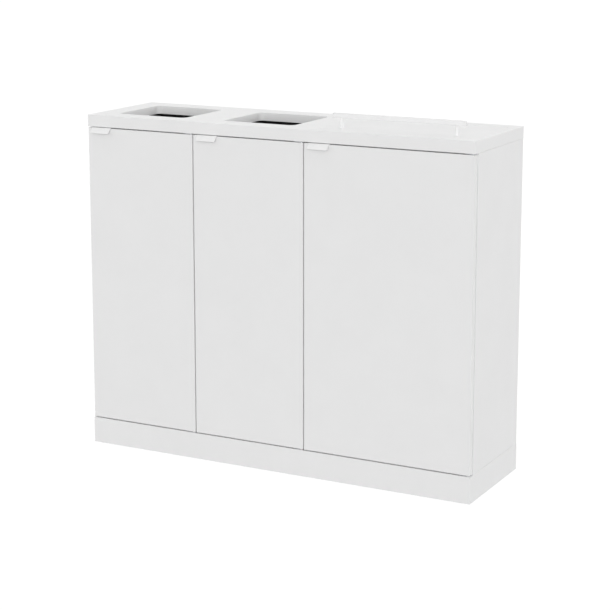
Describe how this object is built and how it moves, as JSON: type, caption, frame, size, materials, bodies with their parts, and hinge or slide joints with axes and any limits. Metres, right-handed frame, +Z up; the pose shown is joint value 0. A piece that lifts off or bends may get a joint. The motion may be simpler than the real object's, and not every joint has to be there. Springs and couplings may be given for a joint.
{
  "type": "recycling bin station",
  "caption": "White cabinet for sorted waste: hinged doors with sheet pull tabs, chute openings and a lift-up lid with a bar handle in the top, on a plinth.",
  "frame": {"origin": "on the floor at the centre of the footprint, pull tabs included", "axes": "+X to the right seen from the front, +Y to the back, +Z up"},
  "size_m": [1.204, 0.3593, 1.021],
  "materials": {
    "white_board": "satin white lacquer on board",
    "white_metal": "fine white powder coat",
    "chute_black": "matt black moulded plastic",
    "bin_plastic": "dark grey moulded plastic",
    "zinc_steel": "bright zinc plated",
    "magnet": "sintered magnet with steel pole faces",
    "white_nylon": "moulded nylon",
    "clear_rubber": "soft translucent",
    "raw_wood": "planed softwood"
  },
  "bodies": {
    "cabinet": {"plinth_front": "white_board", "plinth_back": "white_board", "plinth_left": "white_board", "plinth_right": "white_board", "plinth_cleat": "raw_wood", "corner_blocks": "raw_wood", "plinth_screws": "zinc_steel", "bottom_panel": "white_board", "side_left": "white_board", "side_right": "white_board", "partition_left": "white_board", "partition_right": "white_board", "back_panel": "white_board", "back_screws": "zinc_steel", "top_panel": "white_board", "top_brackets": "zinc_steel", "bracket_screws": "zinc_steel", "chute_left": "chute_black", "chute_middle": "chute_black", "chute_screws": "zinc_steel", "hinge_plates_upper": "zinc_steel", "hinge_plates_lower": "zinc_steel", "hinge_pins": "zinc_steel", "hinge_washers": "white_nylon", "plate_screws": "zinc_steel", "catch_housings": "white_nylon", "catch_magnets": "magnet", "catch_screws": "zinc_steel", "bin_left": "bin_plastic", "bin_middle": "bin_plastic", "bin_right": "bin_plastic", "rim_left": "bin_plastic", "rim_middle": "bin_plastic", "rim_right": "bin_plastic", "sack_rings": "zinc_steel", "lid_ledges": "white_board", "lid_pivot_pins": "zinc_steel"},
    "left_door": {"door_left": "white_board", "pull_left": "white_metal", "pull_screws_left": "zinc_steel", "bushes_left": "white_nylon", "strike_left": "zinc_steel", "bumpers_left": "clear_rubber"},
    "middle_door": {"door_middle": "white_board", "pull_middle": "white_metal", "pull_screws_middle": "zinc_steel", "bushes_middle": "white_nylon", "strike_middle": "zinc_steel", "bumpers_middle": "clear_rubber"},
    "right_door": {"door_right": "white_board", "pull_right": "white_metal", "pull_screws_right": "zinc_steel", "bushes_right": "white_nylon", "strike_right": "zinc_steel", "bumpers_right": "clear_rubber"},
    "lid": {"lid_panel": "white_board", "lid_bar": "white_metal", "lid_posts": "white_metal", "lid_screws": "zinc_steel", "lid_bushes": "white_nylon", "lid_bumpers": "clear_rubber"}
  },
  "joints": [
    {"name": "left_door_hinge", "type": "hinge", "parent": "cabinet", "child": "left_door", "pos_m": [-0.2588, -0.157, 0.511], "axis": [0, 0, 1], "range_deg": [0, 100]},
    {"name": "middle_door_hinge", "type": "hinge", "parent": "cabinet", "child": "middle_door", "pos_m": [0.0912, -0.157, 0.511], "axis": [0, 0, 1], "range_deg": [0, 100]},
    {"name": "right_door_hinge", "type": "hinge", "parent": "cabinet", "child": "right_door", "pos_m": [0.593, -0.157, 0.511], "axis": [0, 0, 1], "range_deg": [0, 100]},
    {"name": "lid_hinge", "type": "hinge", "parent": "cabinet", "child": "lid", "pos_m": [0.35, 0.1275, 0.9755], "axis": [-1, 0, 0], "range_deg": [0, 95]}
  ]
}
